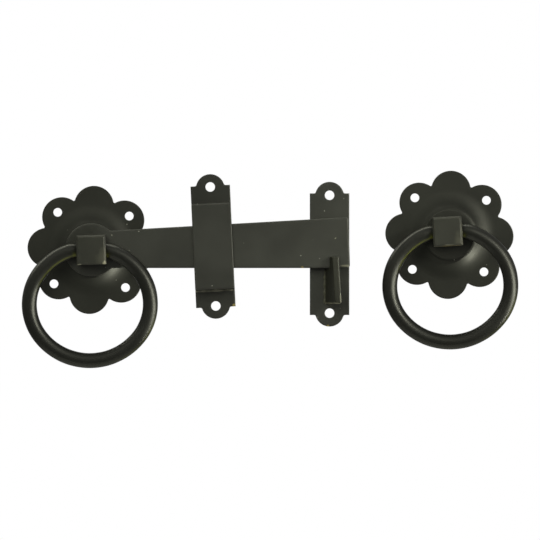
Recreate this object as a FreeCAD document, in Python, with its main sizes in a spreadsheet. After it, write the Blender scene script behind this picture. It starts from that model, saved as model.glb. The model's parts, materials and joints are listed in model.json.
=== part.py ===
import FreeCAD, Part
import Sketcher
import math
import os
import re

# Ring gate latch, in millimetres: a rear handle that turns a tapered bar, the staple that guides the bar,
# the catch that holds it, and the front handle with its spindle, laid out side by side.
# Each piece is drawn lying on its back, x to the right, y up and z out of the gate, and its placement then
# stands it up, so that the gate's face is the plane y = 0 and the fronts face -Y.
# The origin is where the rear handle's axis meets the gate.

# Driving dimensions: name, millimetres or degrees, what it measures
DIMENSIONS = [
    ("rose_lobe_radius", 12.55, "radius of each lobe of a rose"),
    ("rose_lobe_pitch", 28.05, "distance of the lobe centres from the rose's axis"),
    ("rose_cusp_round", 0.8, "rounding of the notch between two lobes"),
    ("rose_edge_round", 0.45, "rounding of a rose's front edge"),
    ("rose_sheet", 1.5, "thickness of the pressed sheet"),
    ("rose_hole_diameter", 5.5, "screw hole"),
    ("rose_hole_circle", 64.1, "diameter of the circle of screw holes"),
    ("rear_rose_turn", 42.0, "turn of the rear rose, from a screw hole on its x axis"),
    ("front_rose_turn", 43.0, "turn of the front rose"),
    ("dome_top_radius", 15.0, "flat top of the dome"),
    ("dome_foot_radius", 29.0, "where the dome runs out into the flat lobes"),
    ("dome_shoulder_radius", 4.0, "bend round the dome's flat top"),
    ("dome_rise", 6.0, "height of the dome over the lobes"),
    ("journal_diameter", 14.0, "round shank that turns in the rose"),
    ("journal_play", 0.08, "radial clearance of the shank in the rose"),
    ("turning_gap", 0.1, "gap between faces that turn on each other"),
    ("seat_gap", 0.05, "gap round what is seated on a shank"),
    ("retainer_diameter", 26.0, "washer behind the dome"),
    ("retainer_thickness", 1.5, "its thickness"),
    ("peen_diameter", 17.5, "spread end of the shank"),
    ("peen_height", 1.2, "its height"),
    ("thrust_washer_diameter", 31.6, "washer under the front lug"),
    ("thrust_washer_thickness", 2.5, "its thickness"),
    ("thrust_washer_round", 0.5, "rounding of its front edge"),
    ("lug_width", 18.6, "side of the square lug"),
    ("lug_depth", 19.3, "how far the lug stands out"),
    ("lug_bevel", 1.2, "bevel round the lug's front"),
    ("lug_corner_round", 0.6, "rounding of the lug's long edges"),
    ("lug_hole_height", 10.0, "ring hole over the lug's base"),
    ("shank_width", 14.0, "square shank that turns the bar"),
    ("spindle_width", 8.0, "square spindle"),
    ("spindle_play", 0.15, "gap on each side of the spindle in its socket"),
    ("spindle_reach", 75.0, "how far the spindle reaches behind the gate's face"),
    ("spindle_bevel", 1.0, "bevel of the spindle's end"),
    ("socket_wall", 1.6, "metal left between the socket and the ring hole"),
    ("ring_stock", 9.6, "diameter of the ring's bar"),
    ("ring_neck", 8.0, "diameter of the neck in the lug"),
    ("ring_hole_play", 0.5, "radial clearance of the neck in the lug"),
    ("ring_half_width", 38.25, "half the ring's width at the middle of its bar"),
    ("ring_half_height", 35.7, "half its height, likewise"),
    ("ring_neck_bend", 10.0, "bend radius beside the neck"),
    ("rear_ring_slide", 1.85, "how far the rear ring has slid to the left in its lug"),
    ("front_ring_slide", 0.2, "how far the front ring has slid, likewise"),
    ("ring_shoulder_gap", 0.5, "gap between the rear ring's right shoulder and its lug"),
    ("bar_thickness", 3.0, "thickness of the latch bar"),
    ("bar_reach", 163.1, "from the rear axis to the bar's tip"),
    ("bar_width_at_pivot", 23.0, "width of the taper at the rear axis"),
    ("bar_width_at_tip", 32.2, "width of the taper at the tip"),
    ("bar_eye_radius", 16.8, "round eye of the bar"),
    ("bar_eye_round", 4.0, "rounding where the eye meets the taper"),
    ("bar_tip_round", 2.0, "rounding of the tip's corners"),
    ("bar_edge_round", 1.0, "rounding of the bar's front edge"),
    ("strip_width", 25.0, "width of the staple and the catch plate"),
    ("strip_thickness", 2.0, "their thickness"),
    ("strip_edge_round", 0.6, "rounding of their front edges"),
    ("ear_radius", 9.1, "round end of a strip"),
    ("ear_length", 7.3, "how far the round end stands past the shoulders"),
    ("ear_round", 1.2, "rounding between a round end and the shoulders"),
    ("strip_hole_diameter", 6.0, "screw hole"),
    ("staple_length", 91.6, "from end to end"),
    ("staple_hole_spacing", 75.4, "between its screw holes"),
    ("staple_bridge", 54.2, "outside length of the bridge"),
    ("staple_bend", 0.5, "inside bend radius"),
    ("staple_crease", 1.0, "outside bend radius"),
    ("staple_gap", 0.4, "gap between the bar and the bridge"),
    ("staple_x", 76.85, "middle of the staple from the rear axis"),
    ("staple_z", 2.2, "its height over the rear axis"),
    ("staple_lean", 2.7, "its lean to the left"),
    ("catch_length", 91.6, "from end to end"),
    ("catch_hole_spacing", 74.6, "between its screw holes"),
    ("catch_z", -2.7, "height of the catch plate's middle over the rear axis"),
    ("hook_thickness", 4.4, "thickness of the hook"),
    ("hook_lean", 17.0, "lean of the hook to the right"),
    ("hook_base_x", -0.6, "middle of its foot from the catch plate's middle"),
    ("hook_drop", 22.4, "height of the hook below the bar"),
    ("hook_rest_gap", 0.15, "gap between the bar and its seat on the hook"),
    ("hook_foot_reach", 22.7, "how far the hook's lower end stands out of the gate's face"),
    ("hook_round", 0.8, "rounding of the hook's front"),
    ("hook_corner_round", 1.8, "rounding of its lower right corner"),
    ("finger_height", 7.4, "height of the finger in front of the bar"),
    ("finger_gap", 0.6, "gap between the bar and the finger"),
    ("finger_depth", 5.5, "depth of the finger at its top"),
    ("front_handle_gap", 63.35, "from the bar's tip to the front handle's axis"),
    ("front_handle_z", 9.55, "height of the front axis over the rear axis"),
    ("front_handle_turn", 3.3, "turn of the front lug and its ring, to the left"),
    ("front_lug_left", 1.3, "how far the front lug's block is forged to the left of its shank"),
    ("front_lug_rise", 2.2, "how far it is forged above its shank"),
]
NAMES = {name for name, _, _ in DIMENSIONS}

ROSE_LOBES = 8
ROSE_HOLES = 4
LOBE_HALF_ANGLE = math.pi / ROSE_LOBES

# How far a cutting outline reaches past what it cuts, and how closely an edge's place is compared
OVERCUT = 2.0
NEAR = 0.01

# Heights over the gate's face
BAR_BACK = "(rose_sheet + dome_rise + turning_gap)"
BAR_FRONT = f"({BAR_BACK} + bar_thickness)"
FRONT_LUG_BASE = f"({BAR_BACK} + thrust_washer_thickness)"
RETAINER_BACK = "(dome_rise - turning_gap - retainer_thickness)"
SHANK_BACK = f"({RETAINER_BACK} - peen_height)"
BRIDGE_BACK = f"({BAR_FRONT} + staple_gap)"
FINGER_BACK = f"({BAR_FRONT} + finger_gap)"

# The bar's taper, by which it is turned up at rest so that its lower edge lies level
BAR_TAPER = "atan((bar_width_at_tip - bar_width_at_pivot) / 2 / bar_reach)"

# Radius of the ring's sides, as an ellipse has there, that of its top and bottom, tangent to the sides, and
# how much of the top the straight neck cuts off
RING_SIDE = "(ring_half_height^2 / ring_half_width)"
RING_ARC = (
    f"((ring_half_width^2 + ring_half_height^2 - 2 * ring_half_width * {RING_SIDE})"
    f" / (2 * (ring_half_height - {RING_SIDE})))"
)
RING_FLAT = f"({RING_ARC} - ring_neck_bend - sqrt(({RING_ARC} - ring_neck_bend)^2 - lug_width^2 / 4))"

# Places on the gate, and the hook's heights over the catch plate's middle
CATCH_X = "(bar_reach - strip_width / 2)"
FRONT_X = "(bar_reach + front_handle_gap)"
SEAT = f"(-bar_width_at_pivot / 2 * cos({BAR_TAPER}) - hook_rest_gap - catch_z)"
FINGER_TOP = f"({SEAT} + finger_height)"
HOOK_BOTTOM = f"({SEAT} - hook_drop)"

# Sketch elements: the origin, the two axes, and the ends and centre of a line or arc
ORIGIN = -1
ACROSS = -1
UPRIGHT = -2
START = 1
END = 2
CENTRE = 3

doc = FreeCAD.newDocument("RingGateLatch")
sheet = doc.addObject("Spreadsheet::Sheet", "Dimensions")
for row, (name, number, meaning) in enumerate(DIMENSIONS, start=1):
    sheet.set(f"A{row}", name)
    sheet.set(f"B{row}", str(number))
    sheet.set(f"C{row}", meaning)
    sheet.setAlias(f"B{row}", name)
doc.recompute()


def bound(words):
    """The expression in words, with each dimension's name pointing at its cell."""
    return re.sub(r"[a-z_]+", lambda word: f"Dimensions.{word[0]}" if word[0] in NAMES else word[0], words)


def size(words):
    """The expression's present value."""
    return float(sheet.evalExpression(bound(words)))


def drive(thing, name, words):
    """Bind a property to the sheet."""
    thing.setExpression(name, bound(words))


def new_body(name):
    body = doc.addObject("PartDesign::Body", name)
    body.Label = name
    return body


def origin_plane(body, role):
    return next(plane for plane in body.Origin.OriginFeatures if plane.Role == role)


def new_sketch(body, role, height="0", across="0", up="0"):
    """A sketch on one of the body's own planes, lifted off it and shifted along its two axes."""
    sketch = body.newObject("Sketcher::SketchObject", "Sketch")
    sketch.AttachmentSupport = [(origin_plane(body, role), "")]
    sketch.MapMode = "FlatFace"
    drive(sketch, "AttachmentOffset.Base.x", across)
    drive(sketch, "AttachmentOffset.Base.y", up)
    drive(sketch, "AttachmentOffset.Base.z", height)
    return sketch


def measure(sketch, kind, elements, words):
    """A dimension of the sketch, bound to the sheet."""
    index = sketch.addConstraint(Sketcher.Constraint(kind, *elements, size(words)))
    drive(sketch, f"Constraints[{index}]", words)


def fix_point(sketch, element, point, across, up):
    measure(sketch, "DistanceX", (ORIGIN, START, element, point), across)
    measure(sketch, "DistanceY", (ORIGIN, START, element, point), up)


def tie(sketch, kind, *elements):
    sketch.addConstraint(Sketcher.Constraint(kind, *elements))


def vector(across, up):
    return FreeCAD.Vector(across, up, 0)


def draw_line(sketch, start, end):
    return sketch.addGeometry(Part.LineSegment(vector(*start), vector(*end)))


def draw_arc(sketch, centre, radius, first, last):
    """An arc drawn anticlockwise between two angles."""
    circle = Part.Circle(vector(*centre), FreeCAD.Vector(0, 0, 1), radius)
    return sketch.addGeometry(Part.ArcOfCircle(circle, first, last))


def draw_circle(sketch, diameter, across="0", up="0"):
    middle = vector(size(across), size(up))
    circle = sketch.addGeometry(Part.Circle(middle, FreeCAD.Vector(0, 0, 1), size(diameter) / 2))
    fix_point(sketch, circle, CENTRE, across, up)
    measure(sketch, "Diameter", (circle,), diameter)


def draw_outline(sketch, corners):
    """A closed outline of straight lines, each corner bound to the sheet."""
    places = [(size(across), size(up)) for across, up in corners]
    lines = [draw_line(sketch, *ends) for ends in zip(places, places[1:] + places[:1])]
    for before, line, corner in zip(lines[-1:] + lines[:-1], lines, corners):
        tie(sketch, "Coincident", before, END, line, START)
        fix_point(sketch, line, START, *corner)


def draw_square(sketch, side):
    half = f"({side}) / 2"
    less = f"-({side}) / 2"
    draw_outline(sketch, [(less, less), (half, less), (half, half), (less, half)])


def add(body, kind, **settings):
    """A feature on the body's tip, which becomes the new tip."""
    feature = body.newObject(f"PartDesign::{kind}", kind)
    for name, setting in settings.items():
        setattr(feature, name, setting)
    body.Tip = feature
    return feature


def pad(body, sketch, length, downward=False, both_ways=False):
    side = "Symmetric" if both_ways else "One side"
    feature = add(body, "Pad", Profile=sketch, SideType=side, Reversed=downward)
    drive(feature, "Length", length)
    return feature


def cut_through(body, sketch):
    """A cut right through the body, to both sides of the sketch."""
    return add(body, "Pocket", Profile=sketch, Type="ThroughAll", SideType="Symmetric")


def turn_copies(body, feature, axis_sketch, count):
    axis = (axis_sketch, ["N_Axis"])
    return add(body, "PolarPattern", Originals=[feature], Axis=axis, Angle=360, Occurrences=count)


def mirror_up_down(body, feature):
    return add(body, "Mirrored", Originals=[feature], MirrorPlane=(origin_plane(body, "XZ_Plane"), [""]))


def edges_where(body, wanted):
    """The names of the tip's edges that pass the test."""
    doc.recompute()
    edges = enumerate(body.Tip.Shape.Edges, start=1)
    return [f"Edge{number}" for number, edge in edges if wanted(edge)]


def round_off(body, radius, wanted):
    feature = add(body, "Fillet", Base=(body.Tip, edges_where(body, wanted)))
    drive(feature, "Radius", radius)


def bevel(body, width, wanted):
    feature = add(body, "Chamfer", Base=(body.Tip, edges_where(body, wanted)))
    drive(feature, "Size", width)


def lies_at(height):
    """A test for edges that lie flat at this height."""
    level = size(height)
    return lambda edge: all(abs(z - level) < NEAR for z in (edge.BoundBox.ZMin, edge.BoundBox.ZMax))


def stands_at(places):
    """A test for straight edges along z at these places."""
    def wanted(edge):
        box = edge.BoundBox
        if box.XLength > NEAR or box.YLength > NEAR:
            return False
        return any(math.hypot(box.XMin - x, box.YMin - y) < NEAR for x, y in places)
    return wanted


def runs_at(places):
    """A test for straight edges along x at these places in y and z."""
    def wanted(edge):
        box = edge.BoundBox
        if box.YLength > NEAR or box.ZLength > NEAR:
            return False
        return any(math.hypot(box.YMin - y, box.ZMin - z) < NEAR for y, z in places)
    return wanted


def stand_up(body, across="0", up="0", turn="0"):
    """Stand the piece up on the gate, turned to the left about its own axis."""
    place = (
        f"create(<<placement>>; create(<<vector>>; {across}; 0; {up}); "
        "create(<<rotation>>; create(<<vector>>; 1; 0; 0); 90)"
        f" * create(<<rotation>>; create(<<vector>>; 0; 0; 1); {turn}))"
    )
    drive(body, "Placement", place)


def draw_dome(sketch):
    """Section of the pressed dome: a flat top, a bend and a long sweep out to the lobes, one sheet thick."""
    sheet_now = size("rose_sheet")
    bore = size("journal_diameter / 2 + journal_play")
    top = size("rose_sheet + dome_rise")
    flat = size("dome_top_radius")
    foot = size("dome_foot_radius")
    slope = 2 * math.atan2(size("dome_rise"), foot - flat)
    bend = size("dome_shoulder_radius")
    sweep_radius = (foot - flat) / math.sin(slope) - bend
    upper = (flat, top - bend)
    lower = (foot, sheet_now + sweep_radius)
    down = 1.5 * math.pi
    bore_wall = draw_line(sketch, (bore, top - sheet_now), (bore, top))
    top_face = draw_line(sketch, (bore, top), (flat, top))
    shoulder = draw_arc(sketch, upper, bend, math.pi / 2 - slope, math.pi / 2)
    sweep = draw_arc(sketch, lower, sweep_radius, down - slope, down)
    rim = draw_line(sketch, (foot, sheet_now), (foot, 0))
    inner_sweep = draw_arc(sketch, lower, sweep_radius + sheet_now, down - slope, down)
    inner_shoulder = draw_arc(sketch, upper, bend - sheet_now, math.pi / 2 - slope, math.pi / 2)
    inner_top = draw_line(sketch, (flat, top - sheet_now), (bore, top - sheet_now))
    tie(sketch, "Coincident", bore_wall, END, top_face, START)
    tie(sketch, "Coincident", top_face, END, shoulder, END)
    tie(sketch, "Tangent", shoulder, START, sweep, START)
    tie(sketch, "Coincident", sweep, END, rim, START)
    tie(sketch, "Coincident", rim, END, inner_sweep, END)
    tie(sketch, "Tangent", inner_sweep, START, inner_shoulder, START)
    tie(sketch, "Coincident", inner_shoulder, END, inner_top, START)
    tie(sketch, "Coincident", inner_top, END, bore_wall, START)
    tie(sketch, "Vertical", bore_wall)
    tie(sketch, "Horizontal", top_face)
    tie(sketch, "Vertical", rim)
    tie(sketch, "Horizontal", inner_top)
    tie(sketch, "Vertical", shoulder, CENTRE, shoulder, END)
    tie(sketch, "Vertical", sweep, CENTRE, sweep, END)
    tie(sketch, "Vertical", inner_shoulder, CENTRE, inner_shoulder, END)
    tie(sketch, "Coincident", inner_sweep, CENTRE, sweep, CENTRE)
    tie(sketch, "Coincident", inner_shoulder, CENTRE, shoulder, CENTRE)
    measure(sketch, "Radius", (shoulder,), "dome_shoulder_radius")
    tie(sketch, "PointOnObject", rim, END, ACROSS)
    measure(sketch, "DistanceX", (ORIGIN, START, rim, END), "dome_foot_radius")
    measure(sketch, "DistanceY", (rim, END, rim, START), "rose_sheet")
    measure(sketch, "DistanceX", (ORIGIN, START, top_face, END), "dome_top_radius")
    measure(sketch, "DistanceY", (ORIGIN, START, top_face, END), "rose_sheet + dome_rise")
    measure(sketch, "DistanceX", (ORIGIN, START, bore_wall, END), "journal_diameter / 2 + journal_play")


def make_rose(name, across, up, turn):
    """A scalloped plate of equal lobes, pressed up into a dome that the handle's shank turns in."""
    body = new_body(name)
    lobe = new_sketch(body, "XY_Plane")
    draw_circle(lobe, "2 * rose_lobe_radius", across="rose_lobe_pitch")
    turn_copies(body, pad(body, lobe, "rose_sheet"), lobe, ROSE_LOBES)
    half_chord = size("rose_lobe_pitch") * math.sin(LOBE_HALF_ANGLE)
    cusp = size("rose_lobe_pitch") * math.cos(LOBE_HALF_ANGLE)
    cusp += math.sqrt(size("rose_lobe_radius") ** 2 - half_chord ** 2)
    angles = [(2 * number + 1) * LOBE_HALF_ANGLE for number in range(ROSE_LOBES)]
    cusps = [(cusp * math.cos(angle), cusp * math.sin(angle)) for angle in angles]
    round_off(body, "rose_cusp_round", stands_at(cusps))
    at_front = lies_at("rose_sheet")
    flat_reach = size("dome_foot_radius")

    def on_rim(edge):
        return at_front(edge) and all(math.hypot(v.X, v.Y) > flat_reach for v in edge.Vertexes)

    round_off(body, "rose_edge_round", on_rim)
    opening = new_sketch(body, "XY_Plane")
    draw_circle(opening, "2 * dome_foot_radius")
    cut_through(body, opening)
    dome = new_sketch(body, "XZ_Plane")
    draw_dome(dome)
    add(body, "Revolution", Profile=dome, ReferenceAxis=(dome, ["V_Axis"]), Angle=360)
    hole = new_sketch(body, "XY_Plane")
    draw_circle(hole, "rose_hole_diameter", across="rose_hole_circle / 2")
    turn_copies(body, cut_through(body, hole), hole, ROSE_HOLES)
    stand_up(body, across, up, turn)
    return body


def make_washer(name, diameter, thickness, back, across, up, front_round=None):
    """A flat washer on a handle's round shank."""
    body = new_body(name)
    outline = new_sketch(body, "XY_Plane", back)
    draw_circle(outline, diameter)
    draw_circle(outline, "journal_diameter + 2 * seat_gap")
    pad(body, outline, thickness)
    if front_round:
        at_front = lies_at(f"{back} + {thickness}")
        bore = size("journal_diameter / 2 + seat_gap")
        round_off(body, front_round, lambda edge: at_front(edge) and edge.Curve.Radius > bore + NEAR)
    stand_up(body, across, up)
    return body


def make_lug(name, base, across, up, turn, offset=("0", "0"), square_length=None):
    """A square block with a cross hole for the ring, on a shank with a square socket and a peened end."""
    body = new_body(name)
    block = new_sketch(body, "XY_Plane", base, *offset)
    draw_square(block, "lug_width")
    pad(body, block, "lug_depth")
    bevel(body, "lug_bevel", lies_at(f"{base} + lug_depth"))
    level = size(base)
    front = size(f"{base} + lug_depth")

    def along_corner(edge):
        """The long edges, and the mitres of the bevel that carry them on to the front."""
        box = edge.BoundBox
        return box.ZLength > NEAR and box.ZMin > level - NEAR and box.ZMax < front + NEAR

    round_off(body, "lug_corner_round", along_corner)
    if square_length:
        shank = new_sketch(body, "XY_Plane", base)
        draw_square(shank, "shank_width")
        pad(body, shank, square_length, downward=True)
    journal = new_sketch(body, "XY_Plane", base)
    draw_circle(journal, "journal_diameter")
    pad(body, journal, f"{base} - {SHANK_BACK}", downward=True)
    peen = new_sketch(body, "XY_Plane", SHANK_BACK)
    draw_circle(peen, "peen_diameter")
    pad(body, peen, "peen_height")
    ring_hole = new_sketch(body, "YZ_Plane")
    draw_circle(ring_hole, "ring_neck + 2 * ring_hole_play", offset[1], f"{base} + lug_hole_height")
    cut_through(body, ring_hole)
    socket = new_sketch(body, "XY_Plane", SHANK_BACK)
    draw_square(socket, "spindle_width + 2 * spindle_play")
    bore = add(body, "Pocket", Profile=socket, Reversed=True)
    drive(bore, "Length", f"{socket_end(base)} - {SHANK_BACK}")
    stand_up(body, across, up, turn)
    return body


def socket_end(base):
    """Height of the blind end of a lug's socket, short of the ring hole."""
    return f"({base} + lug_hole_height - ring_neck / 2 - ring_hole_play - socket_wall)"


def draw_ring_half(sketch, side):
    """Half of the ring's middle line, from the neck's middle round to the bottom: side is 1 right, -1 left.

    A straight neck, a bend, then the top, side and bottom arcs of a four-centred oval, all tangent.
    """
    radius = size(RING_ARC)
    flat = size(RING_FLAT)
    bend = size("ring_neck_bend")
    half_height = size("ring_half_height")
    side_radius = size(RING_SIDE)
    side_centre = size("ring_half_width") - side_radius
    straight = size("lug_width / 2")
    lean = math.asin(straight / (radius - bend))
    corner = math.atan((radius - half_height) / side_centre)

    def arc(across, up, arc_radius, first, last):
        """An arc of the right half, or its mirror image on the left."""
        if side < 0:
            first, last = math.pi - last, math.pi - first
        return draw_arc(sketch, (side * across, up), arc_radius, first, last)

    neck = draw_line(sketch, (0, 0), (side * straight, 0))
    shoulder = arc(straight, -bend, bend, math.pi / 2 - lean, math.pi / 2)
    top = arc(0, flat - radius, radius, corner, math.pi / 2 - lean)
    flank = arc(side_centre, flat - half_height, side_radius, -corner, corner)
    bottom = arc(0, flat - 2 * half_height + radius, radius, -math.pi / 2, -corner)
    near, far = (END, START) if side > 0 else (START, END)
    tie(sketch, "Coincident", neck, START, ORIGIN, START)
    tie(sketch, "Horizontal", neck)
    tie(sketch, "Tangent", neck, END, shoulder, near)
    tie(sketch, "Tangent", shoulder, far, top, near)
    tie(sketch, "Tangent", top, far, flank, near)
    tie(sketch, "Tangent", flank, far, bottom, near)
    tie(sketch, "PointOnObject", top, CENTRE, UPRIGHT)
    tie(sketch, "PointOnObject", bottom, CENTRE, UPRIGHT)
    tie(sketch, "PointOnObject", bottom, far, UPRIGHT)
    tie(sketch, "Equal", top, bottom)
    measure(sketch, "Radius", (shoulder,), "ring_neck_bend")
    measure(sketch, "Radius", (flank,), RING_SIDE)
    sign = "" if side > 0 else "-"
    flank_across = f"{sign}(ring_half_width - {RING_SIDE})"
    fix_point(sketch, flank, CENTRE, flank_across, f"{RING_FLAT} - ring_half_height")
    measure(sketch, "DistanceY", (ORIGIN, START, bottom, far), f"{RING_FLAT} - 2 * ring_half_height")


def make_ring(name, base, across, up, turn, slide, offset=("0", "0")):
    """A round bar bent to an oval, with a thinner neck that reaches further out of the lug on the left."""
    body = new_body(name)
    height = f"({base} + lug_hole_height)"
    beside, above = offset
    middle = f"({beside} - {slide})"
    lowest = f"{above} + {RING_FLAT} - 2 * ring_half_height"
    right = new_sketch(body, "XY_Plane", height, middle, above)
    draw_ring_half(right, 1)
    left = new_sketch(body, "XY_Plane", height, middle, above)
    draw_ring_half(left, -1)
    stock = new_sketch(body, "YZ_Plane", middle)
    draw_circle(stock, "ring_stock", lowest, height)
    neck = new_sketch(body, "YZ_Plane", middle)
    draw_circle(neck, "ring_neck", above, height)
    doc.recompute()
    add(body, "AdditivePipe", Profile=stock, Spine=(right, ["Edge2", "Edge3", "Edge4", "Edge5"]))
    add(body, "AdditivePipe", Profile=stock, Spine=(left, ["Edge3", "Edge4", "Edge5"]))
    trim = new_sketch(body, "XY_Plane", height, middle, above)
    shoulder = "lug_width / 2 + ring_shoulder_gap + rear_ring_slide"
    draw_outline(trim, [("0", "0"), (shoulder, "0"), (shoulder, "ring_stock"), ("0", "ring_stock")])
    add(body, "Groove", Profile=trim, ReferenceAxis=(trim, ["H_Axis"]), Angle=360)
    add(body, "AdditivePipe", Profile=neck, Spine=(right, ["Edge1", "Edge2"]))
    add(body, "AdditivePipe", Profile=neck, Spine=(left, ["Edge1", "Edge2"]))
    stand_up(body, across, up, turn)
    return body


def make_spindle(across, up, turn):
    """The square rod that reaches from the front lug through the gate into the rear lug."""
    body = new_body("spindle")
    front = f"({socket_end(FRONT_LUG_BASE)} - seat_gap)"
    section = new_sketch(body, "XY_Plane", front)
    draw_square(section, "spindle_width")
    pad(body, section, f"{front} + spindle_reach", downward=True)
    bevel(body, "spindle_bevel", lies_at("-spindle_reach"))
    stand_up(body, across, up, turn)
    return body


def make_bar():
    """A flat bar that widens evenly from its round eye to its tip."""
    body = new_body("latch_bar")
    outline = new_sketch(body, "XY_Plane", BAR_BACK)
    reach = size("bar_reach")
    at_pivot = size("bar_width_at_pivot / 2")
    at_tip = size("bar_width_at_tip / 2")
    eye_radius = size("bar_eye_radius")
    taper = math.radians(size(BAR_TAPER))
    # Where the taper's upper edge leaves the eye
    meeting = math.acos(at_pivot * math.cos(taper) / eye_radius)
    angle = math.pi / 2 + taper - meeting
    leave = (eye_radius * math.cos(angle), eye_radius * math.sin(angle))
    upper = draw_line(outline, leave, (reach, at_tip))
    tip = draw_line(outline, (reach, at_tip), (reach, -at_tip))
    lower = draw_line(outline, (reach, -at_tip), (leave[0], -leave[1]))
    eye = draw_arc(outline, (0, 0), eye_radius, angle, 2 * math.pi - angle)
    middle = outline.addGeometry(Part.Point(vector(0, at_pivot)))
    outline.toggleConstruction(middle)
    tie(outline, "Coincident", upper, END, tip, START)
    tie(outline, "Coincident", tip, END, lower, START)
    tie(outline, "Coincident", lower, END, eye, END)
    tie(outline, "Coincident", eye, START, upper, START)
    tie(outline, "Coincident", eye, CENTRE, ORIGIN, START)
    tie(outline, "Symmetric", tip, START, tip, END, ACROSS)
    tie(outline, "Vertical", upper, START, lower, END)
    tie(outline, "PointOnObject", middle, START, UPRIGHT)
    tie(outline, "PointOnObject", middle, START, upper)
    measure(outline, "Radius", (eye,), "bar_eye_radius")
    measure(outline, "DistanceX", (ORIGIN, START, tip, START), "bar_reach")
    measure(outline, "DistanceY", (tip, END, tip, START), "bar_width_at_tip")
    measure(outline, "DistanceY", (ORIGIN, START, middle, START), "bar_width_at_pivot / 2")
    pad(body, outline, "bar_thickness")
    round_off(body, "bar_eye_round", stands_at([leave, (leave[0], -leave[1])]))
    round_off(body, "bar_tip_round", stands_at([(reach, at_tip), (reach, -at_tip)]))
    round_off(body, "bar_edge_round", lies_at(BAR_FRONT))
    square = new_sketch(body, "XY_Plane")
    draw_square(square, "shank_width + 2 * seat_gap")
    cut_through(body, square)
    stand_up(body, turn=BAR_TAPER)
    return body


def trim_ears(body, length, hole_spacing):
    """Cut both ends of a strip to round ears between square shoulders, and drill the screw holes."""
    shoulder = f"({length} / 2 - ear_length)"
    outer = f"({length} / 2 + {OVERCUT})"
    side = f"(strip_width / 2 + {OVERCUT})"
    shoulder_now = size(shoulder)
    outer_now = size(outer)
    side_now = size(side)
    ear = size("ear_radius")
    centre = size(f"{length} / 2 - ear_radius")
    first = math.asin((shoulder_now - centre) / ear)
    half = ear * math.cos(first)
    sketch = new_sketch(body, "XY_Plane")
    right = draw_line(sketch, (half, shoulder_now), (side_now, shoulder_now))
    right_side = draw_line(sketch, (side_now, shoulder_now), (side_now, outer_now))
    above = draw_line(sketch, (side_now, outer_now), (-side_now, outer_now))
    left_side = draw_line(sketch, (-side_now, outer_now), (-side_now, shoulder_now))
    left = draw_line(sketch, (-side_now, shoulder_now), (-half, shoulder_now))
    arc = draw_arc(sketch, (0, centre), ear, first, math.pi - first)
    tie(sketch, "Coincident", right, END, right_side, START)
    tie(sketch, "Coincident", right_side, END, above, START)
    tie(sketch, "Coincident", above, END, left_side, START)
    tie(sketch, "Coincident", left_side, END, left, START)
    tie(sketch, "Coincident", left, END, arc, END)
    tie(sketch, "Coincident", arc, START, right, START)
    tie(sketch, "Horizontal", right)
    tie(sketch, "Vertical", right_side)
    tie(sketch, "Horizontal", above)
    tie(sketch, "Vertical", left_side)
    tie(sketch, "Horizontal", left)
    tie(sketch, "PointOnObject", arc, CENTRE, UPRIGHT)
    measure(sketch, "Radius", (arc,), "ear_radius")
    measure(sketch, "DistanceY", (ORIGIN, START, arc, CENTRE), f"{length} / 2 - ear_radius")
    measure(sketch, "DistanceY", (ORIGIN, START, right, START), shoulder)
    measure(sketch, "DistanceY", (ORIGIN, START, left, START), shoulder)
    measure(sketch, "DistanceX", (ORIGIN, START, right, END), side)
    measure(sketch, "DistanceX", (ORIGIN, START, left, START), f"-{side}")
    measure(sketch, "DistanceY", (ORIGIN, START, above, START), outer)
    mirror_up_down(body, cut_through(body, sketch))
    corners = [(x, y) for x in (-half, half) for y in (-shoulder_now, shoulder_now)]
    round_off(body, "ear_round", stands_at(corners))
    hole = new_sketch(body, "XY_Plane")
    draw_circle(hole, "strip_hole_diameter", up=f"{hole_spacing} / 2")
    mirror_up_down(body, cut_through(body, hole))


def make_staple():
    """A strip bent twice up and twice down, so that its bridge passes in front of the bar."""
    body = new_body("staple")
    end = "staple_length / 2"
    outside = "staple_bridge / 2"
    inside = "(staple_bridge / 2 - strip_thickness)"
    front = f"({BRIDGE_BACK} + strip_thickness)"
    upper_half = [(end, "strip_thickness"), (end, "0"), (inside, "0"), (inside, BRIDGE_BACK)]
    lower_half = [(f"-({across})", up) for across, up in reversed(upper_half)]
    upper_bridge = [(outside, front), (outside, "strip_thickness")]
    bridge = [(f"-({across})", up) for across, up in reversed(upper_bridge)] + upper_bridge
    profile = new_sketch(body, "YZ_Plane")
    draw_outline(profile, upper_half + lower_half + bridge)
    pad(body, profile, "strip_width", both_ways=True)
    sheet_now = size("strip_thickness")
    out_now = size(outside)
    in_now = size(inside)
    bridge_now = size(BRIDGE_BACK)
    inner_bends = [(-out_now, sheet_now), (out_now, sheet_now), (-in_now, bridge_now), (in_now, bridge_now)]
    outer_bends = [(-in_now, 0), (in_now, 0), (-out_now, size(front)), (out_now, size(front))]
    round_off(body, "staple_bend", runs_at(inner_bends))
    round_off(body, "staple_crease", runs_at(outer_bends))
    at_front = lies_at(front)
    straight_front = size("strip_width") / 2

    def on_bridge_side(edge):
        return at_front(edge) and abs(abs(edge.CenterOfMass.x) - straight_front) < NEAR

    round_off(body, "strip_edge_round", on_bridge_side)
    trim_ears(body, "staple_length", "staple_hole_spacing")
    stand_up(body, "staple_x", "staple_z", "staple_lean")
    return body


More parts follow.
